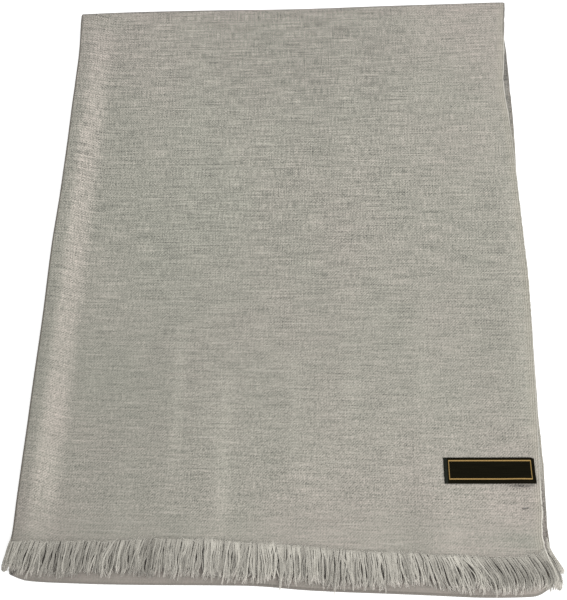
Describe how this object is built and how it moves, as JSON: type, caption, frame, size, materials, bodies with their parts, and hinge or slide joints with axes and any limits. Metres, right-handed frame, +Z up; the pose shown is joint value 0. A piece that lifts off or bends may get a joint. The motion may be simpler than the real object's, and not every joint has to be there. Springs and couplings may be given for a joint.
{
  "type": "folded pashmina scarf",
  "caption": "Light grey twill scarf folded flat into a rectangle, with fringed ends at the near edge and a small dark woven label by the selvedge.",
  "frame": {"origin": "middle of the underside of the folded pile's box, on the surface that it lies on", "axes": "+X from the lengthwise fold to the selvedges, +Y from the fringed near edge to the far fold, +Z up"},
  "size_m": [0.3546, 0.4508, 0.0125],
  "materials": {
    "cloth": "soft light grey twill, matt with a faint sheen",
    "fringe": "loose pale grey threads",
    "label": "black woven label with a thin gold border"
  },
  "bodies": {
    "root": {"end_stretch": "cloth", "under_stretch": "cloth", "hidden_layers": "cloth", "upper_fringe": "fringe", "second_fringe": "fringe", "inner_fringe": "fringe", "label": "label"}
  },
  "joints": []
}
